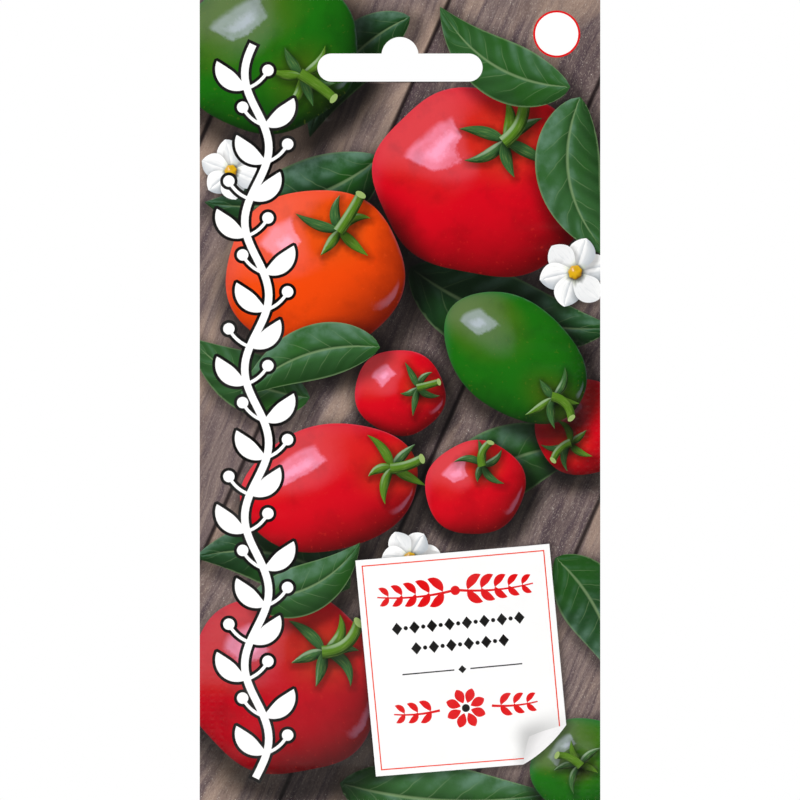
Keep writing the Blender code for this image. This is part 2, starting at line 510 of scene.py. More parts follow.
def creased_blade(tree, fold, crease):
    """What a leaf or petal reads. It falls away to both sides, with a crease along its middle."""
    over_x, over_z, _ = split(attribute(tree, "relief"))
    along, wide, own = split(attribute(tree, "place"))
    fall = wide * fold - wide.math("SIGN") * (1 - wide.math("ABSOLUTE").rises(0.0, 0.4)) * crease
    return over_x, over_z, along, wide, own, fall


def leaf_colour(tree, place, tint):
    """A leaf: paler midrib and veins, the blade puffed between them, a cool sheen where it faces up."""
    over_x, over_z, along, wide, own, fall = creased_blade(tree, 0.60, 0.5)
    off = noise(place, 150.0, detail=2.0) - 0.5
    size = wide.math("ABSOLUTE")
    beat = along * 7.5 - size * 1.35 + off * 0.5 + own
    puff = (beat * (2 * math.pi)).math("SINE") * 0.13
    slope_x = over_x * fall + over_z * puff
    slope_z = over_z * fall - over_x * puff
    toward = facing_viewer(slope_x, slope_z, least=0.05)
    dark = darker(tint, 0.24, 0.32, 0.20)
    colour = mixed(facing_light(slope_x, slope_z, toward).rises(0.1, 0.85), dark, tint)
    rich = noise(place, 70.0)
    colour = mixed(rich.rises(0.42, 0.66) * 0.75, colour, mixed(0.7, colour, ink(38, 92, 18)))
    colour = mixed((off + 0.5).rises(0.35, 0.8) * 0.22, colour, dark)
    sheen = (slope_x * -1.1 + slope_z * 1.0 + 0.15).rises(0.1, 0.95) * 0.55
    sheen = sheen * noise(place, 230.0, detail=4.0).rises(0.30, 0.68)
    colour = mixed(sheen, colour, ink(122, 158, 142))
    line = beat.math("PINGPONG", 0.5)
    veins = (1 - line.rises(0.0, 0.05)) * (1 - size.rises(0.35, 0.88)) * 0.34
    midrib = (1 - size.rises(0.01, 0.07)) * (1 - along.rises(0.75, 1.0)) * 0.75
    margin = size.rises(0.92, 0.985) * 0.50
    drawn = veins.math("MAXIMUM", midrib).math("MAXIMUM", margin)
    return mixed(drawn, colour, mixed(0.6, tint, ink(146, 172, 124)))


def petal_colour(tree, place, tint):
    """A white petal with fine long lines, greenish at its foot and grey in its folds."""
    over_x, over_z, along, wide, _, fall = creased_blade(tree, 0.7, 0.35)
    grey = darker(tint, 0.50, 0.54, 0.58)
    colour = mixed(facing_light(over_x * fall, over_z * fall, 1.0).rises(0.24, 0.89), grey, tint)
    lines = noise(joined(along * 2.5, wide * 7.0, 0.0), 1.0)
    colour = mixed(lines.rises(0.5, 0.75) * 0.3, colour, grey)
    return mixed((1 - along.rises(0.0, 0.35)) * 0.7, colour, ink(186, 200, 96))


def stem_colour(tree, place, tint):
    """A round green stalk with fine lines along it."""
    over_x, over_z, _ = split(attribute(tree, "relief"))
    along, wide, _ = split(attribute(tree, "place"))
    toward = (1 - wide * wide).math("MAXIMUM", 0.0).math("SQRT")
    sun = facing_light(over_x * wide, over_z * wide, toward)
    colour = mixed((sun * 0.5 + 0.5).rises(0.42, 0.92), darker(tint, 0.10, 0.15, 0.08), tint)
    lines = noise(joined(along * 3.0, wide * 5.0, 0.0), 1.0)
    colour = mixed(lines.rises(0.45, 0.75) * 0.28, colour, ink(150, 176, 96))
    return mixed(sun.rises(0.84, 1.0) * 0.55, colour, ink(176, 200, 168))


def flat_colour(tree, place, tint):
    """A flat field of one ink, which takes on the paper's faint cloudiness."""
    cloud = noise(place, 90.0, detail=4.0).rises(0.3, 0.8) * 0.04
    return mixed(cloud, tint, (0.5, 0.5, 0.5, 1.0))


def core_colour(tree, place):
    """Bare white paper, with fibres."""
    return mixed(noise(place, 2600.0), (0.80, 0.79, 0.76, 1.0), (0.90, 0.89, 0.87, 1.0))


def coated_print(name, colour_of):
    """A printed ink under the gloss coating. The printed shadows that fall on it darken its colour."""

    def under_shadows(tree, place):
        light = attribute(tree, "light", out=2)
        colour = colour_of(tree, place, attribute(tree, "tint", out=0))
        return mixed(1.0, colour, joined(light, light, light), blend="MULTIPLY")

    return finish(name, under_shadows, 0.28, 0.25, 4200.0, 0.000004)


INKS = {
    "paper_core": finish("paper_core", core_colour, 0.8, 0.2, 2600.0, 0.00001),
    "board": coated_print("print_of_boards", board_colour),
    "skin": coated_print("print_of_fruit", fruit_colour),
    "leaf": coated_print("print_of_leaves", leaf_colour),
    "petal": coated_print("print_of_petals", petal_colour),
    "stem": coated_print("print_of_stalks", stem_colour),
    "flat": coated_print("flat_inks", flat_colour),
}
BARE_PAPER = list(INKS).index("paper_core")

# The form that the seals and the seeds give a sheet, and its sizes in metres
FORM_SIZES = {
    "Facing": 1.0,
    "Bond Gap": BOND_GAP * MM,
    "Paper": PAPER * MM,
    "Half Width": POUCH_HALF_WIDTH * MM,
    "Pouch Top": POUCH_TOP * MM,
    "Pouch Foot": POUCH_FOOT * MM,
    "Ribbed Top": RIBBED_TOP * MM,
    "Bulge": FRONT_BULGE * MM,
    "Belly": 0.70,
    "Rounding Above": 1.8,
    "Rounding Below": 2.4,
    "Rib Pitch": RIB_PITCH * MM,
    "Rib Height": RIB_HEIGHT * MM,
    "Pucker": 0.5 * MM,
    "Swell": 0.5 * MM,
}


def clamped(wire):
    """The value, kept between 0 and 1."""
    return wire.math("MAXIMUM", 0.0).math("MINIMUM", 1.0)


def paper_form():
    """The node tree that lifts a flat sheet into the packet's form and gives each face its ink."""
    tree = bpy.data.node_groups.new("packet_form", "GeometryNodeTree")
    tree.interface.new_socket("Geometry", in_out="INPUT", socket_type="NodeSocketGeometry")
    tree.interface.new_socket("Geometry", in_out="OUTPUT", socket_type="NodeSocketGeometry")
    for name in FORM_SIZES:
        tree.interface.new_socket(name, in_out="INPUT", socket_type="NodeSocketFloat")
    entry = tree.nodes.new("NodeGroupInput")
    size = {name: Wire(entry.outputs[name]) for name in FORM_SIZES}
    across, _, up = split(add(tree, "GeometryNodeInputPosition"))
    outer = add(tree, "GeometryNodeInputNamedAttribute", Name="outer")

    # How full the pouch is at each point, from 0 at its seals to 1 at its belly
    wide = clamped((across / size["Half Width"]).math("ABSOLUTE"))
    down = clamped((size["Pouch Top"] - up) / (size["Pouch Top"] - size["Pouch Foot"]))
    above = 1 - (1 - clamped(down / size["Belly"])) ** size["Rounding Above"]
    below = 1 - (1 - clamped((1 - down) / (1 - size["Belly"]))) ** size["Rounding Below"]
    fullness = (1 - wide * wide) * above * below

    # Puckers just inside the seals, and a slow swell over the pouch
    near_side = wide.rises(0.45, 0.96) * (1 - wide.rises(0.97, 1.0))
    near_end = down.rises(0.9, 0.985) * (1 - down.rises(0.985, 1.0))
    long_way = noise(joined(across * 60, size["Facing"] * 3, up * 330), 1.0, detail=1.0)
    short_way = noise(joined(across * 330, size["Facing"] * 5, up * 60), 1.0, detail=1.0)
    puckers = (long_way - 0.5) * near_side * down.rises(0.0, 0.12) + (short_way - 0.5) * near_end
    swell = noise(joined(across * 38, size["Facing"] * 7, up * 26), 1.0, detail=1.0) - 0.5

    # Ribs across the seals: level ones up both sides, upright ones along the header's foot and the bottom
    turn = size["Rib Pitch"] ** -1.0 * (2 * math.pi)
    ribbed = (size["Ribbed Top"] - up).math("GREATER_THAN", 0.0)
    on_sides = wide.math("GREATER_THAN", 0.9999)
    past_pouch = (down * (1 - down)).math("LESS_THAN", 0.00001)
    in_bands = (1 - on_sides) * past_pouch
    ribs = (on_sides * (up * turn).math("SINE") + in_bands * (across * turn).math("SINE")) * ribbed

    lift = (size["Bulge"] + size["Swell"] * swell) * fullness + size["Pucker"] * puckers
    stand = size["Bond Gap"] / 2 + size["Paper"] * outer + lift.math("MAXIMUM", 0.0)
    depth = size["Facing"] * stand + size["Rib Height"] * ribs * outer
    moved = add(
        tree,
        "GeometryNodeSetPosition",
        Geometry=Wire(entry.outputs["Geometry"]),
        Position=joined(across, depth, up),
    )
    shown = add(tree, "GeometryNodeRealizeInstances", Geometry=moved)
    number = add(tree, "GeometryNodeInputNamedAttribute", Name="ink")
    for index, material in enumerate(INKS.values()):
        chosen = (number - index).math("ABSOLUTE").math("LESS_THAN", 0.5)
        shown = add(tree, "GeometryNodeSetMaterial", Geometry=shown, Selection=chosen, Material=material)
    leave = tree.nodes.new("NodeGroupOutput")
    feed(leave.inputs["Geometry"], shown)
    return tree


PACKET_FORM = paper_form()


def store(mesh, name, kind, domain, values):
    """Keeps values on the mesh, for the node trees to read by name."""
    field = {"FLOAT": "value", "FLOAT_VECTOR": "vector", "FLOAT_COLOR": "color"}[kind]
    layer = mesh.attributes.new(name, kind, domain)
    layer.data.foreach_set(field, np.asarray(values, np.float32).ravel())


def loop_points(mesh):
    """The point at each corner of each face."""
    points = np.empty(len(mesh.loops), int)
    mesh.loops.foreach_get("vertex_index", points)
    return points


def print_on(mesh, motifs, outer, topmost):
    """Keeps what the inks read. topmost gives the motif that each printed triangle belongs to."""
    points = loop_points(mesh)
    tint = np.ones((len(points), 4))
    place = np.zeros((len(points), 3))
    relief = np.zeros((len(points), 3))
    light = np.ones(len(points))
    number = np.full(len(mesh.polygons), BARE_PAPER)
    for k, motif in enumerate(motifs):
        chosen = np.flatnonzero(topmost == k)
        if not len(chosen):
            continue
        at = (chosen[:, None] * 3 + np.arange(3)).ravel()
        ends = outer[points[at]]
        number[chosen] = list(INKS).index(motif.ink)
        tint[at] = motif.tint
        if motif.wrap:
            place[at], relief[at, :2] = motif.wrap(ends)
        if motif.fade:
            light[at] = motif.fade(ends)
        for above in motifs[k + 1 :]:
            light[at] *= above.dims(ends)
    store(mesh, "ink", "FLOAT", "FACE", number)
    store(mesh, "tint", "FLOAT_COLOR", "CORNER", tint)
    store(mesh, "place", "FLOAT_VECTOR", "CORNER", place)
    store(mesh, "relief", "FLOAT_VECTOR", "CORNER", relief)
    store(mesh, "light", "FLOAT", "CORNER", light)


def form_up(sheet, facing, bulge):
    """Runs the node tree on the flat sheet, and keeps the result as its plain mesh."""
    flat = sheet.data
    form = sheet.modifiers.new("form", "NODES")
    form.node_group = PACKET_FORM
    sizes = FORM_SIZES | {"Facing": float(facing), "Bulge": bulge * MM}
    for item in PACKET_FORM.interface.items_tree:
        if item.in_out == "INPUT" and item.name in sizes:
            form[item.identifier] = sizes[item.name]
    graph = bpy.context.evaluated_depsgraph_get()
    formed = bpy.data.meshes.new_from_object(
        sheet.evaluated_get(graph), preserve_all_data_layers=True, depsgraph=graph
    )
    sheet.modifiers.remove(form)
    sheet.data = formed
    bpy.data.meshes.remove(flat)
    formed.name = sheet.name
    formed.shade_smooth()
    formed.set_sharp_from_angle(angle=math.radians(40))


def lay_out(mesh, facing, strip=0.04, margin=0.002, edge=0.0004):
    """The map that the print is baked through. The plain paper has a narrow strip of it to itself."""
    places = np.empty(len(mesh.vertices) * 3)
    mesh.vertices.foreach_get("co", places)
    places = places.reshape(-1, 3)[loop_points(mesh)] / MM
    inks = np.empty(len(mesh.polygons), np.float32)
    mesh.attributes["ink"].data.foreach_get("value", inks)
    plain = np.repeat(inks == BARE_PAPER, [len(face.vertices) for face in mesh.polygons])
    across = (-facing * places[:, 0] - LEFT) / (RIGHT - LEFT)
    up = (places[:, 2] - FOOT) / (HEAD - FOOT)
    printed = margin + across * (1 - 2 * margin - strip)
    bare = 1 - strip + 2 * margin + across * (strip - 4 * margin) + np.abs(places[:, 1]) * edge
    spots = np.stack([np.where(plain, bare, printed), margin + up * (1 - 2 * margin)], 1)
    layer = mesh.uv_layers.new(name="OFBake")
    layer.uv.foreach_set("vector", spots.astype(np.float32).ravel())


def coated_sheet(name, motifs, facing, bulge, gap):
    """One sheet of the packet with its motifs, the first one lowest. facing is -1 in front, 1 behind."""
    border = stepped(boxed(LEFT, FOOT, RIGHT, HEAD), 2 * gap)
    pouch = stepped(boxed(-POUCH_HALF_WIDTH, POUCH_FOOT, POUCH_HALF_WIDTH, POUCH_TOP), 2 * gap)
    outlines = [border, slot_outline(), pouch]
    drawn = outlines + [motif.outline for motif in motifs]
    outer, corners, topmost = cut_apart(drawn, lattice_points(drawn, gap))
    rim = rim_sides(corners)
    inner, inner_faces, under = inner_side(outer, rim, outlines)

    count = len(outer)
    points = [(-facing * across * MM, 0.0, up * MM) for across, up in (*outer, *inner)]
    faces = corners.tolist()
    faces += [[count + point for point in face[::-1]] for face in inner_faces]
    faces += [[end, start, count + under[start], count + under[end]] for start, end in rim]
    sheet = mesh_object(name, points, faces)
    store(sheet.data, "outer", "FLOAT", "POINT", np.arange(len(points)) < count)
    print_on(sheet.data, motifs, outer, topmost - len(outlines))
    form_up(sheet, facing, bulge)
    lay_out(sheet.data, facing)
    return sheet


# The front sheet: its print covers it to the edges. A garden picture of round fruit, leaves and white
# flowers on old boards lies under a white vine with a black outline, a plain ringed disc and a plain
# white label whose lower right corner is drawn curled up.
WHITE, BLACK = ink(255, 255, 255), ink(12, 8, 6)
KEYLINE, LABEL_RED, FLAP_WHITE = ink(240, 62, 16), ink(224, 0, 16), ink(250, 249, 250)
RED, DEEP_RED, ORANGE, GREEN = ink(212, 0, 30), ink(186, 0, 30), ink(238, 72, 8), ink(30, 106, 18)
LEAF_GREEN, LEAF_DARK, STEM_GREEN = ink(56, 98, 54), ink(40, 76, 44), ink(84, 126, 34)
CUT_GREEN, DOME_YELLOW = ink(150, 176, 104), ink(226, 176, 30)
SHORTEST_SIDE, LEAST_HALF_WIDTH, TIP_HALF_WIDTH = 0.02, 0.12, 0.04
DIMPLE_DEPTH, DIMPLE_REACH = 0.855, 0.26
FURROW_DEPTH, FURROW_REACH = 1.8, 0.36
PICTURE_SEED = 5
draw = random.Random(PICTURE_SEED)


def ground(tint, ink_name="flat", overrun=3.0):
    """The ink that covers a whole sheet and runs past its edges."""
    return Motif(boxed(LEFT - overrun, FOOT - overrun, RIGHT + overrun, HEAD + overrun), tint, ink_name)


def pointing(angle):
    """A step of one unit in the direction of the angle."""
    return np.array([math.cos(angle), math.sin(angle)])


def turned(angle):
    """The matrix whose columns are the across and the up directions, turned by the angle."""
    return np.stack([pointing(angle), pointing(angle + math.pi / 2)], 1)


def curve(start, end, sag, count=26):
    """Points from start to end, whose middle stands to the left by sag times the length."""
    start, end = np.array(start, float), np.array(end, float)
    side = np.array([start[1] - end[1], end[0] - start[0]])
    middle = (start + end) / 2 + 2 * sag * side
    share = np.linspace(0, 1, count)[:, None]
    return (1 - share) ** 2 * start + 2 * share * (1 - share) * middle + share**2 * end


def blade(path, half_widths, tint, ink_name="flat", shadow=None):
    """A leaf, petal, stalk or strip along a path. half_widths gives its half widths along it."""
    step = np.gradient(path, axis=0)
    step /= np.linalg.norm(step, axis=1)[:, None]
    over = np.stack([-step[:, 1], step[:, 0]], 1)
    length = np.concatenate([[0.0], np.cumsum(np.linalg.norm(np.diff(path, axis=0), axis=1))])
    share = length / length[-1]
    wide = half_widths(share)
    left, right = path + over * wide[:, None], path - over * wide[:, None]
    outline = np.concatenate([left, right[::-1]])
    apart = np.linalg.norm(outline - np.roll(outline, 1, axis=0), axis=1) > SHORTEST_SIDE
    own = draw.random()

    def wrap(points):
        gaps = points[:, None] - path[None]
        nearest = np.linalg.norm(gaps, axis=2).argmin(1)
        gap = gaps[np.arange(len(points)), nearest]
        along = share[nearest] + (gap * step[nearest]).sum(1) / length[-1]
        side = (gap * over[nearest]).sum(1) / np.maximum(wide[nearest], LEAST_HALF_WIDTH)
        place = np.stack([along, np.clip(side, -1, 1), np.full(len(points), own)], 1)
        return place, over[nearest]

    return Motif(ringed(outline[apart]), tint, ink_name, wrap, shadow)


def leaf_widths(width, widest=0.42, point=0.9):
    """Half widths that swell to the widest place and close again, with a fine tip at both ends."""
    power = math.log(0.5) / math.log(widest)
    return lambda share: np.maximum(width / 2 * np.sin(math.pi * share**power) ** point, TIP_HALF_WIDTH)


def leaf(base, tip, sag, width, tint):
    widths = leaf_widths(width, 0.4)
    shadow = (0.6, 0.11 * math.dist(base, tip), 1.0, -1.4)
    front.append(blade(curve(base, tip, sag, 40), widths, tint, "leaf", shadow))


def stem(base, tip, sag, foot_width, tip_width):
    def widths(share):
        return (foot_width + (tip_width - foot_width) * share) / 2

    front.append(blade(curve(base, tip, sag), widths, STEM_GREEN, "stem", (0.5, 2.2, 0.8, -1.1)))


def stalk_end(middle, foot, size, lobes, calyx):
    """The calyx round the stalk's foot, and the stalk, which leans away from the fruit's middle."""
    away = math.atan2(foot[1] - middle[1], foot[0] - middle[0])
    for i in range(lobes):
        angle = away + 2 * math.pi * (i + 0.5) / lobes + draw.uniform(-0.2, 0.2)
        squash = 0.62 + 0.38 * abs(math.sin(angle - away))
        length = calyx * size * squash * draw.uniform(0.9, 1.15)
        path = curve(foot, foot + length * pointing(angle), draw.uniform(-0.22, 0.22), 20)
        tone = draw.choice((STEM_GREEN, LEAF_GREEN))
        widths = leaf_widths(0.26 * calyx * size, 0.38)
        front.append(blade(path, widths, tone, "stem", (0.5, 1.2, 0.35, -0.5)))
    thick = max(0.24 * size * calyx, 1.0)
    way = pointing(away)
    top = foot + way * 0.50 * size
    stem(foot - way * 0.2 * thick, top, draw.uniform(-0.2, 0.2), thick * 1.25, thick)
    cut = round_outline((0, 0), thick * 0.56, 28) * (0.55, 1.0)
    front.append(Motif(ringed(top + cut @ turned(away).T), CUT_GREEN, shadow=(0.3, 0.8, 0.3, -0.4)))


def fruit(middle, radii, turn, tint, stalk=(0.15, 0.5), lobes=5, lobing=0.02, calyx=0.5):
    """One round fruit, seen with its stalk end turned part way to the viewer, and the calyx on it."""
    middle, radii, stalk = np.array(middle, float), np.array(radii, float), np.array(stalk)
    spin = turned(math.radians(turn))
    size = radii.min()
    phase = draw.uniform(0, 6)

    def edge(angle):
        return 1 + lobing * np.cos(lobes * angle + phase) + lobing / 2 * np.cos(2 * angle + phase)

    def slant(angle):
        return -lobing * (lobes * np.sin(lobes * angle + phase) + np.sin(2 * angle + phase))

    def wrap(points):
        local = ((points - middle) @ spin) / radii
        angle = np.arctan2(local[:, 1], local[:, 0])
        reach = edge(angle)
        share = np.minimum(np.linalg.norm(local, axis=1) / reach, 1)
        aside = np.stack([-local[:, 1], local[:, 0]], 1)
        lean = local / reach[:, None] ** 2 - (slant(angle) / reach**3)[:, None] * aside
        gap = local - stalk
        far = np.linalg.norm(gap, axis=1)
        round_stalk = np.arctan2(gap[:, 1], gap[:, 0])
        lean -= (DIMPLE_DEPTH / DIMPLE_REACH * np.exp(-((far / DIMPLE_REACH) ** 2)))[:, None] * gap
        furrows = FURROW_DEPTH * lobing * lobes * np.sin(lobes * round_stalk + phase)
        furrows *= np.exp(-far / FURROW_REACH)
        lean += furrows[:, None] * np.stack([-np.sin(round_stalk), np.cos(round_stalk)], 1)
        lean /= radii
        depth = np.sqrt(np.maximum(1 - share**2, 0)) / size
        whole = np.maximum(np.sqrt((lean**2).sum(1) + depth**2), 1e-9)
        return np.column_stack([local, far]), (lean / whole[:, None]) @ spin.T

    angles = np.linspace(0, 2 * math.pi, max(40, int(radii.mean() * 7)), endpoint=False)
    rim = edge(angles)[:, None] * np.stack([np.cos(angles), np.sin(angles)], 1)
    outline = ringed(middle + (rim * radii) @ spin.T)
    front.append(Motif(outline, tint, "skin", wrap, (0.86, 0.42 * size, 0.13 * size, -0.20 * size)))
    if calyx:
        stalk_end(middle, middle + (stalk * radii) @ spin.T, size, lobes, calyx)


def flower(middle, radius, petals, turn):
    """A white flower: petals round a small domed yellow middle."""
    middle = np.array(middle, float)
    for i in range(petals):
        way = pointing(math.radians(turn) + 2 * math.pi * i / petals)
        end = middle + radius * draw.uniform(0.92, 1.05) * way
        path = curve(middle, end, draw.uniform(-0.06, 0.06), 22)
        widths = leaf_widths(0.78 * radius, 0.58, 0.7)
        front.append(blade(path, widths, WHITE, "petal", (0.45, 1.0, 0.35, -0.5)))
    fruit(middle, (radius * 0.2, radius * 0.2), 0, DOME_YELLOW, calyx=0, lobes=7, lobing=0.05)


# The garden picture, from the bottom of the pile to its top
front = [ground(WHITE, "board")]
leaf((-4, -24), (-39, -33), 0.12, 15, LEAF_DARK)
leaf((2, -46), (43, -58), -0.10, 17, LEAF_DARK)
leaf((-18, -72), (-42, -60), 0.1, 12, LEAF_GREEN)
leaf((8, -96), (40, -82), 0.14, 15, LEAF_GREEN)
leaf((-10, -110), (-41, -104), -0.12, 14, LEAF_DARK)
leaf((-12, -149), (30, -151), -0.06, 15, LEAF_GREEN)
leaf((31, -104), (43, -128), 0.10, 13, LEAF_DARK)
leaf((2, 4), (-18, -20), -0.12, 11, LEAF_DARK)
fruit((37, -78), (10, 9.5), 20, RED, stalk=(-0.4, -0.2), calyx=0.6)
fruit((-26, -3), (18, 16), 10, GREEN, stalk=(0.3, -0.35), lobes=6, lobing=0.018)
fruit((17, -29), (22, 19), -8, RED, stalk=(0.12, 0.46), lobes=6, lobing=0.025)
leaf((34, -10), (8, 6), 0.14, 12, LEAF_GREEN)
leaf((36, -12), (42, -44), -0.16, 13, LEAF_GREEN)
fruit((-17, -47), (18, 16.5), 14, ORANGE, stalk=(0.38, 0.42))
fruit((23, -64), (11, 16), 52, GREEN, stalk=(-0.16, -0.68), lobing=0.012, calyx=0.6)
fruit((0, -71), (9, 8.6), -20, RED, stalk=(0.34, 0.25), calyx=0.62)
leaf((-4, -62), (-32, -72), -0.12, 11, LEAF_GREEN)
fruit((-14, -90), (18, 12.5), 12, RED, stalk=(0.72, 0.1), lobing=0.014, calyx=0.6)
fruit((15, -90), (10, 9.4), 20, RED, stalk=(0.3, 0.4), calyx=0.62)
fruit((-23, -129), (20, 18), -14, DEEP_RED, stalk=(0.3, 0.45), lobes=6, lobing=0.025)
fruit((37, -146), (11, 10), 0, GREEN, stalk=(-0.1, 0.05), calyx=0.6)
leaf((-30, -112), (-8, -101), -0.14, 10, LEAF_GREEN)
flower((35, -47), 7.0, 6, 12)
flower((-33.8, -26.8), 6.2, 6, 40)
flower((2, -104), 6.0, 6, 0)

# The vine, printed flat in white with a black outline, up the left side
VINE_LINE, VINE_HALF_WIDTH, STALK_HALF_WIDTH, BERRY_RADIUS = 0.6, 0.75, 0.32, 1.15
VINE_MIDDLE, VINE_SWAY, VINE_WAVE = -28.6, 2.4, 29.5
SHARPEST_TIP = 2.2


def grown(outline, by):
    """The outline moved outwards by one distance everywhere, and by somewhat more at a sharp tip."""
    side = np.roll(outline, -1, axis=0) - outline
    out = np.stack([side[:, 1], -side[:, 0]], 1) / np.linalg.norm(side, axis=1)[:, None]
    both = out + np.roll(out, 1, axis=0)
    length = np.maximum(np.linalg.norm(both, axis=1), 1e-6)
    return outline + by * both / length[:, None] * np.minimum(2 / length, SHARPEST_TIP)[:, None]


def vine_place(up):
    return VINE_MIDDLE + VINE_SWAY * np.sin(up * 2 * math.pi / VINE_WAVE)


def even(half_width):
    return lambda share: np.full(len(share), half_width)


climb = np.linspace(-148.0, -1.5, 150)
vine = [blade(np.stack([vine_place(climb), climb], 1), even(VINE_HALF_WIDTH), WHITE).outline]
for i, up in enumerate(np.arange(-143.0, -4.0, VINE_WAVE / 4)):
    foot = np.array([vine_place(up), up])
    side = 1 if i % 2 else -1
    berry = foot + (-side * 4.2, 3.6)
    leaf_path = curve(foot, foot + (side * 6.0, 5.4), -0.14 * side, 24)
    vine.append(blade(leaf_path, leaf_widths(3.5, 0.5, 0.8), WHITE).outline)
    vine.append(blade(curve(foot, berry, 0.1 * side, 10), even(STALK_HALF_WIDTH), WHITE).outline)
    vine.append(round_outline(berry, BERRY_RADIUS, 24))
front += [Motif(grown(outline, VINE_LINE), BLACK) for outline in vine]
front += [Motif(outline, WHITE) for outline in vine]

# The ringed disc in the upper right corner
DISC_PLACE = (31.3, 0.6)
for radius, tint in ((4.70, LABEL_RED), (4.30, WHITE)):
    front.append(Motif(round_outline(DISC_PLACE, radius, 64), tint))

# The label: its corners anticlockwise from the upper left, with a fold in place of the lower right one.
# A thin frame runs inside its edges and stops short at the fold.
LABEL_CORNERS = np.array([(-8.9, -104.5), (-4.8, -147.7), (24.6, -145.3), (33.2, -137.4), (29.8, -101.2)])
FOLD_BULGE, FLAP_TIP = np.array([0.30, -0.60]), np.array([25.8, -139.7])
FRAME_INSET, FRAME_LINE, FRAME_STOP = 1.13, 0.24, (24.9, -138.1)
along_fold = np.linspace(0, 1, 16)[:, None]
fold = (1 - along_fold) * LABEL_CORNERS[2] + along_fold * LABEL_CORNERS[3]
fold = fold + 4 * along_fold * (1 - along_fold) * FOLD_BULGE
label_outline = np.concatenate([LABEL_CORNERS[:2], fold, LABEL_CORNERS[4:]])
flap_low = curve(FLAP_TIP, LABEL_CORNERS[2], -0.03, 10)
flap_high = curve(LABEL_CORNERS[3], FLAP_TIP, -0.03, 10)
flap_outline = ringed(np.concatenate([fold, flap_high[1:], flap_low[1:-1]]))


def label_fade(points):
    """The soft shade that the lifted flap leaves on the label, wider above it than beside it."""
    reach = 2.4 + 2.2 * smooth(points[:, 1], -143.0, -139.0)
    near = 1 - smooth(edge_distance(points, flap_outline) / reach, 0, 1)
    spread = np.exp(-((np.linalg.norm(points - FLAP_TIP, axis=1) / 7.0) ** 2))
    return 1 - 0.42 * near * spread


def flap_fade(points):
    """The flap is grey in its hollow by the tip and white along the fold."""
    across = (LABEL_CORNERS[2] + LABEL_CORNERS[3]) / 2 - FLAP_TIP
    return 0.72 + 0.24 * smooth((points - FLAP_TIP) @ across / (across @ across), 0.0, 0.9)


front.append(Motif(label_outline, WHITE, fade=label_fade, shadow=(0.5, 1.3, 0.2, -0.35)))
for inset, tint in ((FRAME_INSET, KEYLINE), (FRAME_INSET + FRAME_LINE, WHITE)):
    inside = grown(LABEL_CORNERS, -inset)
    inside[2:4] = (FRAME_STOP[0], inside[2][1] + 0.02), (inside[3][0], FRAME_STOP[1])
    front.append(Motif(stepped(inside, 3.0), tint, fade=label_fade))
front.append(Motif(flap_outline, FLAP_WHITE, fade=flap_fade))

# The label's ornament: sprigs and a rosette in red, with rows of beads and a rule in black
LABEL_TURN, LABEL_MIDDLE = math.radians(5.2), np.array([12.2, -123.6])
BEAD_PITCH, ROSETTE_UP = 1.75, -10.4


def on_label(points):
    """Places given across and up the label, from its middle, as places on the sheet."""
    return LABEL_MIDDLE + np.array(points, float) @ turned(LABEL_TURN).T


def taper(share):
    return 0.26 - 0.12 * share


def sprig(start, end, up, leaf_size, pairs):
    """A level stem from start to end across the label, with leaves in pairs that lean towards its end."""
    side = 1 if end > start else -1
    front.append(blade(on_label(curve((start, up), (end, up), -0.04 * side)), taper, LABEL_RED))
    for i in range(pairs):
        reach = start + (end - start) * (i + 0.7) / (pairs + 0.5)
        size = leaf_size * (1 - 0.09 * i)
        for lift in (-1, 1):
            tip = (reach + side * size * 0.72, up + lift * size * 0.70)
            path = on_label(curve((reach, up), tip, 0.14 * lift * side, 14))
            front.append(blade(path, leaf_widths(size * 0.46, 0.5, 0.8), LABEL_RED))


def dot(middle, radius, tint):
    front.append(Motif(round_outline(on_label([middle])[0], radius, 20), tint))


def diamond(across, up, half_width, half_height):
    ends = [(-half_width, 0), (0, -half_height), (half_width, 0), (0, half_height)]
    front.append(Motif(on_label(np.array(ends) + (across, up)), BLACK))


def bead_row(up, count):
    """Black diamonds in a row, with a dot between each two."""
    for i in range(count):
        across = (i - (count - 1) / 2) * BEAD_PITCH
        if i % 2:
            dot((across, up), 0.42, BLACK)
        else:
            diamond(across, up, 1.05, 1.25)


def bar(start, end, up, thick):
    ends = boxed(min(start, end), up - thick / 2, max(start, end), up + thick / 2)
    front.append(Motif(stepped(on_label(ends), 3.0), BLACK))


for side in (-1, 1):
    sprig(side * 0.6, side * 15.6, 13.2, 3.9, 5)
    bar(side * 1.6, side * 12.0, -2.6, 0.26)
    sprig(side * 5.2, side * 14.4, ROSETTE_UP, 3.0, 3)
dot((0, 13.2), 0.95, LABEL_RED)
bead_row(6.6, 15)
bead_row(2.4, 11)
diamond(0, -2.6, 0.8, 0.8)
for i in range(8):
    way = pointing(math.pi * (i + 0.5) / 4)
    path = on_label(curve(way * 1.1, way * 4.1, 0.0, 14) + (0, ROSETTE_UP))
    front.append(blade(path, leaf_widths(1.9, 0.55, 0.7), LABEL_RED))
dot((0, ROSETTE_UP), 0.8, BLACK)

printed_front = coated_sheet("printed_front", front, -1, FRONT_BULGE, FRONT_LATTICE)
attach(printed_front, "root")
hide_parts("front_sheet")

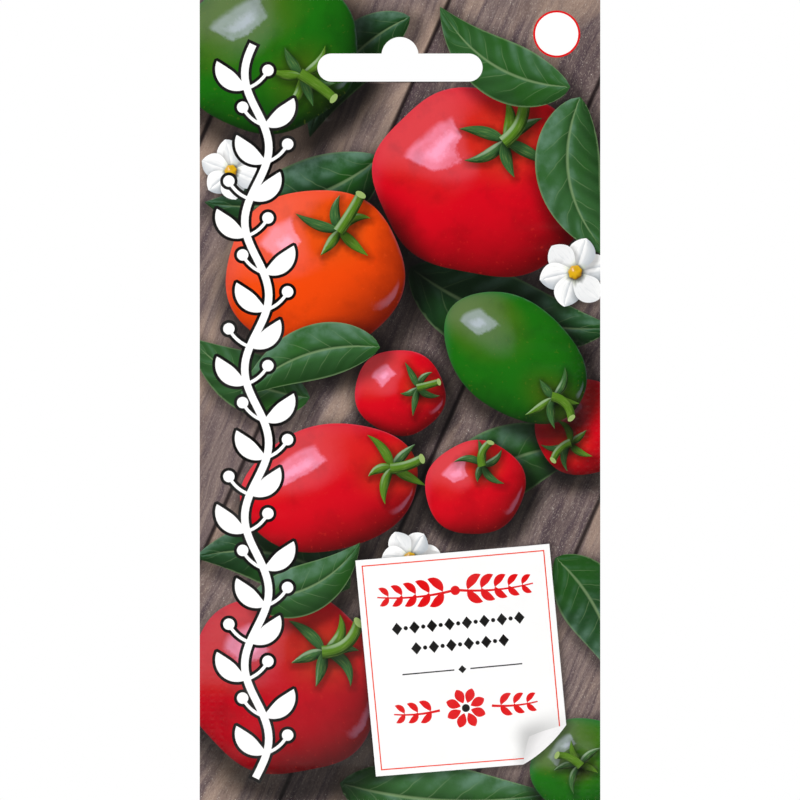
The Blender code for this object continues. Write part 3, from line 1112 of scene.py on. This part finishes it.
# The back sheet: the same paper, printed in flat colours on an ivory ground. It holds a green header
# band, pale leaves, a bare name panel, ruled lines, round signs for care, a sowing table of twelve
# columns and a bare white box, with no words.
IVORY, PAPER_WHITE, PALE_LEAF = ink(243, 239, 224), ink(252, 251, 247), ink(226, 230, 204)
BAND_GREEN, DEEP_GREEN, GREY_LINE = ink(54, 108, 46), ink(30, 66, 30), ink(150, 156, 138)
SUN_YELLOW, WATER_BLUE, POT_BROWN = ink(244, 184, 32), ink(66, 140, 190), ink(170, 92, 52)
FRUIT_RED, FRUIT_GLEAM = ink(206, 24, 34), ink(238, 120, 116)
MARGIN, RULE, RULE_PITCH = 34.0, 0.18, 3.6
back = [ground(IVORY)]


def patch(left, foot, right, head, tint):
    back.append(Motif(stepped(boxed(left, foot, right, head), 4.0), tint))


def band(foot, head, tint, overrun=2.0):
    """A band across the whole sheet."""
    patch(LEFT - overrun, foot, RIGHT + overrun, head, tint)


def panel(left, foot, right, head, line, tint=PAPER_WHITE):
    """A filled panel with a thin green edge."""
    patch(left, foot, right, head, BAND_GREEN)
    patch(left + line, foot + line, right - line, head - line, tint)


def disc(middle, radius, tint, count=40):
    back.append(Motif(round_outline(middle, radius, count), tint))


def back_blade(start, end, sag, widths, tint, count=20):
    back.append(blade(curve(start, end, sag, count), widths, tint))


def ruled(left, right, up, count, last_right):
    """Grey lines one under another, the last of them shorter."""
    for i in range(count):
        foot = up - RULE_PITCH * i
        patch(left, foot, last_right if i == count - 1 else right, foot + RULE, GREY_LINE)


def sprout(foot, height):
    """Two seed leaves on a short stalk."""
    foot = np.array(foot, float)
    back_blade(foot, foot + (0, height * 0.62), 0.0, even(height * 0.05), BAND_GREEN)
    base = foot + (0, height * 0.55)
    for side in (-1, 1):
        tip = base + (side * height * 0.55, height * 0.34)
        back_blade(base, tip, 0.16 * side, leaf_widths(height * 0.34, 0.55, 0.7), BAND_GREEN)


def ray(share):
    return 0.28 * (1 - share) + 0.05


def leaf_line(share):
    return 0.35 - 0.25 * share


def sun_sign(middle):
    for i in range(12):
        way = pointing(math.pi * i / 6)
        back_blade(middle + way * 2.3, middle + way * 3.7, 0.0, ray, SUN_YELLOW, 4)
    disc(middle, 1.9, SUN_YELLOW)


def drop_sign(middle):
    turns = np.linspace(0, 2 * math.pi, 40, endpoint=False)
    wide = 1.9 * np.sin(turns) * np.sin(turns / 2) ** 1.4
    shape = middle + np.stack([wide, 3.1 * np.cos(turns) - 0.1], 1)
    back.append(Motif(ringed(shape), WATER_BLUE))
    back_blade(middle + (-0.75, -0.9), middle + (-0.1, -2.1), 0.22, leaf_widths(0.45), PAPER_WHITE, 10)


def pot_sign(middle):
    sprout(middle + (0, -0.5), 3.6)
    pot = np.array([(-1.3, -3.0), (1.3, -3.0), (1.75, -0.6), (-1.75, -0.6)])
    for shape in (pot, boxed(-2.1, -0.75, 2.1, 0.0)):
        back.append(Motif(middle + shape, POT_BROWN))


def spacing_sign(middle):
    """Two sprouts over a line with a point at both its ends, for the gap between plants."""
    for side in (-1, 1):
        sprout(middle + (side * 2.1, -0.9), 2.8)
        head = np.array([(side * 3.3, -2.0), (side * 2.4, -1.55), (side * 2.4, -2.45)])
        back.append(Motif(ringed(middle + head), DEEP_GREEN))
    back.append(Motif(middle + boxed(-2.5, -2.12, 2.5, -1.88), DEEP_GREEN))


# The header band, with a light line and a thin red one under it
band(-15.0, HEAD + 2, BAND_GREEN)
band(-15.8, -15.0, PAPER_WHITE)
band(-16.3, -15.8, LABEL_RED)

# Pale leaves behind the panels
for base, tip, sag, width in (
    ((30, -152), (6, -112), 0.16, 17),
    ((34, -146), (38, -100), -0.14, 16),
    ((24, -150), (-16, -128), 0.12, 15),
    ((-34, -20), (-6, -44), 0.14, 14),
    ((-38, -24), (-34, -60), -0.10, 13),
):
    back_blade(base, tip, sag, leaf_widths(width), PALE_LEAF, 30)
    back_blade(base, tip, sag, leaf_line, IVORY, 30)

# The name panel, a round fruit beside it, and the ruled lines for the grower's notes
panel(-MARGIN, -31.0, 14.0, -20.0, 0.35)
patch(-31.5, -25.7, 11.5, -25.5, GREY_LINE)
disc((25.5, -26.0), 7.2, FRUIT_RED, 60)
disc((23.2, -23.6), 1.5, FRUIT_GLEAM, 24)
calyx_foot = np.array([25.5, -20.6])
for i in range(5):
    way = pointing(math.pi / 2 + 2 * math.pi * i / 5) * (1, 0.6)
    back_blade(calyx_foot, calyx_foot + way * 3.6, 0.1, leaf_widths(1.4), BAND_GREEN, 12)
for left in (-MARGIN, 1.5):
    ruled(left, left + 32.5, -37.6, 8, left + 20.0)

# The round signs
for across, draw_sign in ((-26.4, sun_sign), (-8.8, drop_sign), (8.8, pot_sign), (26.4, spacing_sign)):
    sign_middle = np.array([across, -72.6])
    disc(sign_middle, 5.0, BAND_GREEN)
    disc(sign_middle, 4.6, PAPER_WHITE)
    draw_sign(sign_middle)

# The sowing table: a sign for each row, then twelve columns, some of them filled
COLUMNS, COLUMN, ROW, TABLE_LEFT, TABLE_HEAD = 12, 5.0, 5.4, -26.0, -81.6
TABLE_EDGE, GRID_LINE = 0.35, 0.18
panel(-MARGIN, TABLE_HEAD - 4 * ROW, MARGIN + TABLE_EDGE, TABLE_HEAD, TABLE_EDGE)
patch(TABLE_EDGE - MARGIN, TABLE_HEAD - ROW, MARGIN, TABLE_HEAD - TABLE_EDGE, BAND_GREEN)
for tint, row, first, last in (
    (SUN_YELLOW, 1, 1, 4),
    (BAND_GREEN, 2, 4, 6),
    (LABEL_RED, 3, 6, 10),
):
    head = TABLE_HEAD - row * ROW
    patch(TABLE_LEFT + first * COLUMN, head - ROW + 1.1, TABLE_LEFT + last * COLUMN, head - 1.1, tint)
    disc((-29.8, head - ROW / 2), 1.5, tint, 24)
for column in range(COLUMNS + 1):
    left = TABLE_LEFT + column * COLUMN - GRID_LINE / 2
    for row in range(4):
        head = TABLE_HEAD - row * ROW
        patch(left, head - ROW + 0.5, left + GRID_LINE, head - 0.5, GREY_LINE if row else PAPER_WHITE)
for row in (2, 3):
    foot = TABLE_HEAD - row * ROW - GRID_LINE / 2
    patch(-33.0, foot, 33.4, foot + GRID_LINE, GREY_LINE)

# The bare white box, a bare stamp box with ruled lines under it, and the foot band
panel(-MARGIN, -136.0, -2.0, -110.0, 0.2)
panel(4.0, -120.0, MARGIN, -110.0, 0.2, IVORY)
ruled(4.0, MARGIN, -125.4, 4, MARGIN - 12.0)
band(FOOT - 2, -144.5, BAND_GREEN)
band(-144.5, -143.9, LABEL_RED)

printed_back = coated_sheet("printed_back", back, 1, BACK_BULGE, BACK_LATTICE)
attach(printed_back, "root")
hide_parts("back_sheet")

# The seeds: fifteen flat dry discs, loose between the sheets, each with a pale pitted coat that is
# browner in its pits.


def seed_colour(tree, place):
    patchy = noise(place, 900.0, detail=4.0)
    pits = noise(place, 4200.0, detail=2.0)
    colour = mixed(patchy.rises(0.3, 0.7), ink(222, 190, 130), ink(238, 214, 160))
    return mixed(pits.rises(0.55, 0.75) * 0.5, colour, ink(176, 134, 76))


seed_coat = finish("seed_coat", seed_colour, 0.6, 0.4, 3000.0, 0.00008)
for name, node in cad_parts.items():
    if name.startswith("seed_"):
        for held in node.material_slots:
            held.material = seed_coat
